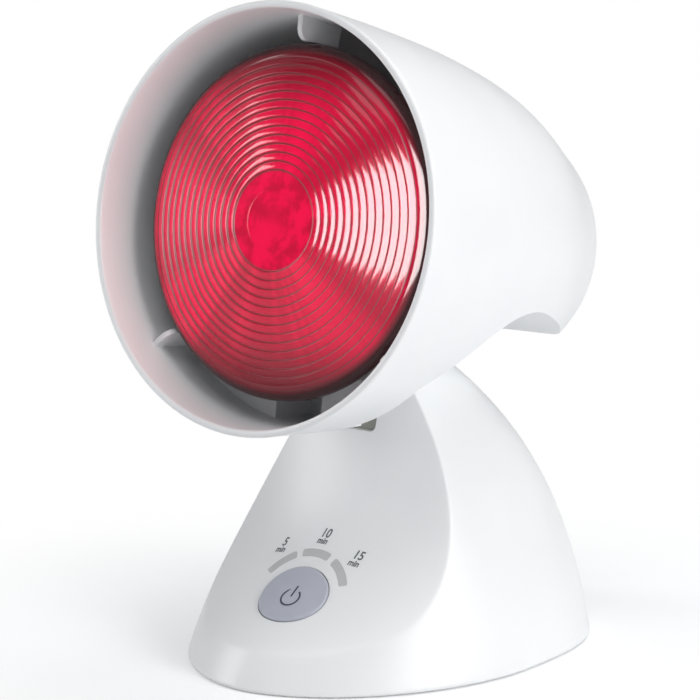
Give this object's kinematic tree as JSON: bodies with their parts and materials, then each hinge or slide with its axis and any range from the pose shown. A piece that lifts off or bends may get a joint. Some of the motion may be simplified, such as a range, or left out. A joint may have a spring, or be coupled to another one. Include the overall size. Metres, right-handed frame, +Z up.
{
  "type": "infrared heat therapy lamp",
  "caption": "Table heat lamp: a bullet-shaped white shade with a red reflector bulb tilts on a hooded foot with a timer button and light strips.",
  "frame": {"origin": "middle of the part's bounding box in X and Y, on the surface that the rubber feet stand on", "axes": "+Z up, -Y towards the lit side and the button, +X to the right of someone who faces the lit side"},
  "size_m": [0.147, 0.1843, 0.2337],
  "materials": {
    "white_plastic": "satin",
    "rubber": "matte",
    "steel": "satin",
    "button_plastic": "satin",
    "light_guide": "satin",
    "circuit_board": "satin",
    "black_plastic": "satin",
    "clear_glass": "clear",
    "wire_cover": "satin",
    "arm_plastic": "satin",
    "brass": "satin",
    "ceramic": "glazed",
    "red_glass": "polished, pressed in rings",
    "silvered_glass": "polished",
    "cap_metal": "satin"
  },
  "bodies": {
    "foot": {"foot_shell": "white_plastic", "bottom_plate": "white_plastic", "rubber_feet": "rubber", "bottom_screws": "steel", "steel_weight": "steel", "weight_screws": "steel", "neck_frame": "steel", "frame_screws": "steel", "hinge_pin": "steel", "pin_clip": "steel", "light_strip_5": "light_guide", "light_strip_10": "light_guide", "light_strip_15": "light_guide", "control_board": "circuit_board", "control_board_screws": "steel", "timer_switch": "black_plastic", "timer_leds": "light_guide", "power_board": "circuit_board", "power_board_screws": "steel", "transformer": "black_plastic", "relay": "black_plastic", "fuse": "clear_glass", "terminal_block": "black_plastic", "cord_inlet_bush": "black_plastic", "neck_leads": "wire_cover", "link_cable": "wire_cover"},
    "button": {"power_button": "button_plastic"},
    "head": {"shade": "white_plastic", "tilt_arm": "arm_plastic", "arm_screws": "steel", "hinge_bushes": "brass", "holder_frame": "steel", "holder_frame_screws": "steel", "lamp_holder": "ceramic", "holder_screws": "steel", "holder_sleeve": "brass", "holder_contact": "brass", "lamp_leads": "wire_cover", "bulb_lens": "red_glass", "bulb_bowl": "silvered_glass", "bulb_skirt": "cap_metal", "bulb_cap": "cap_metal", "bulb_insulator": "black_plastic", "bulb_contact": "cap_metal", "filament": "steel", "filament_posts": "steel"}
  },
  "joints": [
    {"name": "head_tilt", "type": "hinge", "parent": "foot", "child": "head", "pos_m": [0, -0.006, 0.092], "axis": [1, 0, 0], "range_deg": [-30, 15]},
    {"name": "button_press", "type": "slide", "parent": "foot", "child": "button", "axis": [0, 0.6074, -0.7944], "range_m": [0, 0.001], "stiffness_N_per_m": 800}
  ]
}
